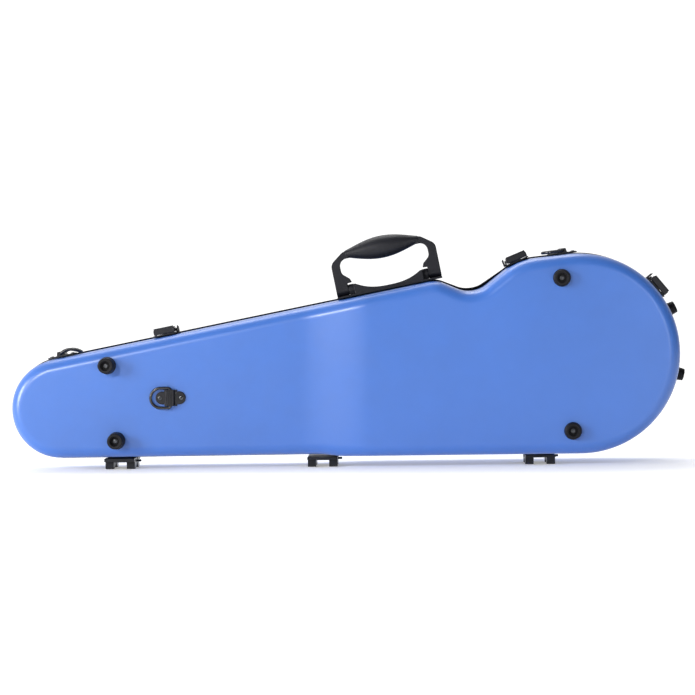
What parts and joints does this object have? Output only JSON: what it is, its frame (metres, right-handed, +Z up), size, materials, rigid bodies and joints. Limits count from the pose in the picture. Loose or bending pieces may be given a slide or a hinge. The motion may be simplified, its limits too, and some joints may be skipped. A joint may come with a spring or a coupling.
{
  "type": "violin case",
  "caption": "Shaped hard case for a violin: hinged moulded shells with latches, a carrying handle, strap rings, rubber feet and a padded bed.",
  "frame": {"origin": "centre of the bottom of the bounding box, on the surface that the case stands on with its hinge side down", "axes": "+X to the wide end, +Z up to the handle side; the back of the bottom shell faces -Y and the lid faces +Y"},
  "size_m": [0.7915, 0.152, 0.2726],
  "materials": {
    "shell": "satin moulded fibreglass, cornflower blue",
    "rim": "matte black edging",
    "padding": "short-pile plush over foam",
    "webbing": "woven black webbing",
    "hardware": "satin black coating",
    "steel": "satin blackened steel",
    "handle_plastic": "matte, fine-grained moulded plastic",
    "handle_grip": "matte soft-touch grip",
    "foot_rubber": "matte moulded rubber"
  },
  "bodies": {
    "case": {"bottom_shell": "shell", "bottom_rim": "rim", "bottom_liner": "padding", "neck_rest": "padding", "neck_strap": "webbing", "hinge_leaf_back_1": "hardware", "hinge_leaf_back_2": "hardware", "hinge_leaf_back_3": "hardware", "hinge_pin_1": "steel", "hinge_pin_2": "steel", "hinge_pin_3": "steel", "latch_base_1": "hardware", "latch_base_2": "hardware", "latch_base_3": "hardware", "handle_base": "handle_plastic", "handle_pin_left": "steel", "handle_pin_right": "steel", "strap_ring_plate_back": "hardware", "strap_ring_plate_neck": "hardware", "strap_ring_plate_body": "hardware", "foot_neck_upper": "foot_rubber", "foot_neck_lower": "foot_rubber", "foot_body_upper": "foot_rubber", "foot_body_lower": "foot_rubber", "end_foot_upper": "foot_rubber", "end_foot_lower": "foot_rubber", "screw_foot_neck_upper": "steel", "screw_foot_neck_lower": "steel", "screw_foot_body_upper": "steel", "screw_foot_body_lower": "steel", "screw_end_foot_upper": "steel", "screw_end_foot_lower": "steel"},
    "lid": {"lid_shell": "shell", "lid_rim": "rim", "lid_liner": "padding", "hinge_leaf_lid_1": "hardware", "hinge_leaf_lid_2": "hardware", "hinge_leaf_lid_3": "hardware", "latch_keeper_1": "hardware", "latch_keeper_2": "hardware", "latch_keeper_3": "hardware", "bow_holder_upper": "handle_plastic", "bow_holder_lower": "handle_plastic", "bow_tip_pocket_upper": "webbing", "bow_tip_pocket_lower": "webbing"},
    "handle": {"handle_frame": "handle_plastic", "handle_grip": "handle_grip"},
    "ring_back": {"strap_ring_back": "steel"},
    "ring_neck": {"strap_ring_neck": "steel"},
    "ring_body": {"strap_ring_body": "steel"},
    "lever_1": {"latch_lever_1": "hardware"},
    "lever_2": {"latch_lever_2": "hardware"},
    "lever_3": {"latch_lever_3": "hardware"},
    "bail_1": {"latch_bail_1": "steel"},
    "bail_2": {"latch_bail_2": "steel"},
    "bail_3": {"latch_bail_3": "steel"},
    "cover": {"compartment_cover": "padding"},
    "toggle_upper": {"bow_toggle_upper": "handle_plastic"},
    "toggle_lower": {"bow_toggle_lower": "handle_plastic"}
  },
  "joints": [
    {"name": "lid_hinge", "type": "hinge", "parent": "case", "child": "lid", "pos_m": [-0.00414, -0.008, 0.0087], "axis": [-1, 0, 0], "range_deg": [0, 100]},
    {"name": "handle_swing", "type": "hinge", "parent": "case", "child": "handle", "pos_m": [0.05005, -0.03, 0.2171], "axis": [0.9819, 0, 0.1895], "range_deg": [-78, 78]},
    {"name": "ring_back_turn", "type": "hinge", "parent": "case", "child": "ring_back", "pos_m": [-0.20554, -0.062, 0.0846], "axis": [0, 0, 1], "range_deg": [0, 180]},
    {"name": "ring_neck_turn", "type": "hinge", "parent": "case", "child": "ring_neck", "pos_m": [-0.3366, -0.028, 0.13737], "axis": [0, -1, 0], "range_deg": [0, 150]},
    {"name": "ring_body_turn", "type": "hinge", "parent": "case", "child": "ring_body", "pos_m": [0.25343, -0.028, 0.2502], "axis": [0, 1, 0], "range_deg": [0, 180]},
    {"name": "latch_1_lever", "type": "hinge", "parent": "case", "child": "lever_1", "pos_m": [-0.21401, -0.019, 0.16165], "axis": [-0.9819, 0, -0.1895], "range_deg": [0, 100]},
    {"name": "latch_2_lever", "type": "hinge", "parent": "case", "child": "lever_2", "pos_m": [0.19967, -0.019, 0.24209], "axis": [-0.9266, 0, -0.3761], "range_deg": [0, 100]},
    {"name": "latch_3_lever", "type": "hinge", "parent": "case", "child": "lever_3", "pos_m": [0.36549, -0.019, 0.20736], "axis": [-0.6347, 0, 0.7727], "range_deg": [0, 100]},
    {"name": "latch_1_bail", "type": "hinge", "parent": "lever_1", "child": "bail_1", "pos_m": [-0.21401, -0.024, 0.16165], "axis": [-0.9819, 0, -0.1895], "range_deg": [-121, 0]},
    {"name": "latch_2_bail", "type": "hinge", "parent": "lever_2", "child": "bail_2", "pos_m": [0.19967, -0.024, 0.24209], "axis": [-0.9266, 0, -0.3761], "range_deg": [-121, 0]},
    {"name": "latch_3_bail", "type": "hinge", "parent": "lever_3", "child": "bail_3", "pos_m": [0.36549, -0.024, 0.20736], "axis": [-0.6347, 0, 0.7727], "range_deg": [-121, 0]},
    {"name": "cover_hinge", "type": "hinge", "parent": "case", "child": "cover", "pos_m": [-0.31314, -0.0152, 0.12654], "axis": [0.982, 0, 0.1889], "range_deg": [0, 22]},
    {"name": "toggle_upper_turn", "type": "hinge", "parent": "lid", "child": "toggle_upper", "pos_m": [0.25786, 0.05, 0.175], "axis": [0, 1, 0], "range_deg": [0, 90]},
    {"name": "toggle_lower_turn", "type": "hinge", "parent": "lid", "child": "toggle_lower", "pos_m": [0.25786, 0.05, 0.099], "axis": [0, 1, 0], "range_deg": [0, 90]}
  ],
  "couplings": [
    {"joint": "latch_1_bail", "follows": "latch_1_lever", "ratio": -1.208},
    {"joint": "latch_2_bail", "follows": "latch_2_lever", "ratio": -1.208},
    {"joint": "latch_3_bail", "follows": "latch_3_lever", "ratio": -1.208}
  ]
}
